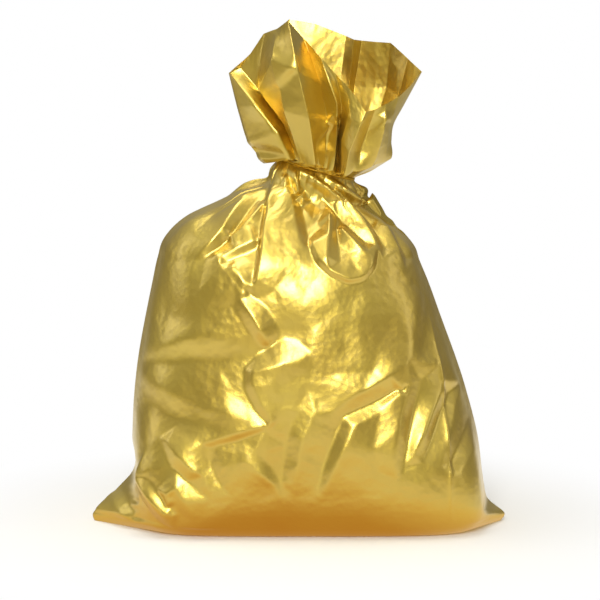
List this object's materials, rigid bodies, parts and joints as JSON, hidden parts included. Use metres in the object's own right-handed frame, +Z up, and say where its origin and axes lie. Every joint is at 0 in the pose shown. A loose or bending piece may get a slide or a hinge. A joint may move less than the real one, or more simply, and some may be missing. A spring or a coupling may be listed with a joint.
{
  "type": "gift bag",
  "caption": "Stuffed metallised-film gift bag, gathered and tied at the neck, with an open pleated frill above the tie.",
  "frame": {"origin": "on the surface the bag stands on, under the middle of its bounding box", "axes": "+Z up, -Y towards the front of the bag, +X to the right as seen from the front"},
  "size_m": [0.35, 0.1556, 0.4221],
  "materials": {
    "sack_film": "metallised gold, glossy and crinkled",
    "frill_film": "metallised gold, glossy and crinkled",
    "tissue": "matte, crumpled",
    "tie_foil": "metallised gold over wire, satin"
  },
  "bodies": {
    "sack": {"front_panel": "sack_film", "back_panel": "sack_film", "tissue_wad_1": "tissue", "tissue_wad_2": "tissue", "tissue_wad_3": "tissue", "tissue_wad_4": "tissue", "tissue_wad_5": "tissue", "tissue_wad_6": "tissue", "tissue_wad_7": "tissue", "tissue_wad_8": "tissue", "tissue_wad_9": "tissue"},
    "neck": {"neck_gather": "sack_film", "tie_loop": "tie_foil"},
    "frill": {"frill_front": "frill_film", "frill_back": "frill_film"},
    "tie_stem": {"tie_strand_left": "tie_foil", "tie_strand_right": "tie_foil"}
  },
  "joints": [
    {"name": "neck_lean", "type": "hinge", "parent": "sack", "child": "neck", "pos_m": [0.015, 0, 0.3], "axis": [1, 0, 0], "range_deg": [-25, 25]},
    {"name": "frill_sway", "type": "hinge", "parent": "neck", "child": "frill", "pos_m": [0.015, 0, 0.3], "axis": [0, 1, 0], "range_deg": [-20, 20]},
    {"name": "tie_twist", "type": "hinge", "parent": "neck", "child": "tie_stem", "pos_m": [0.015, 0.027, 0.3], "axis": [0, 1, 0], "range_deg": [0, 540]}
  ]
}
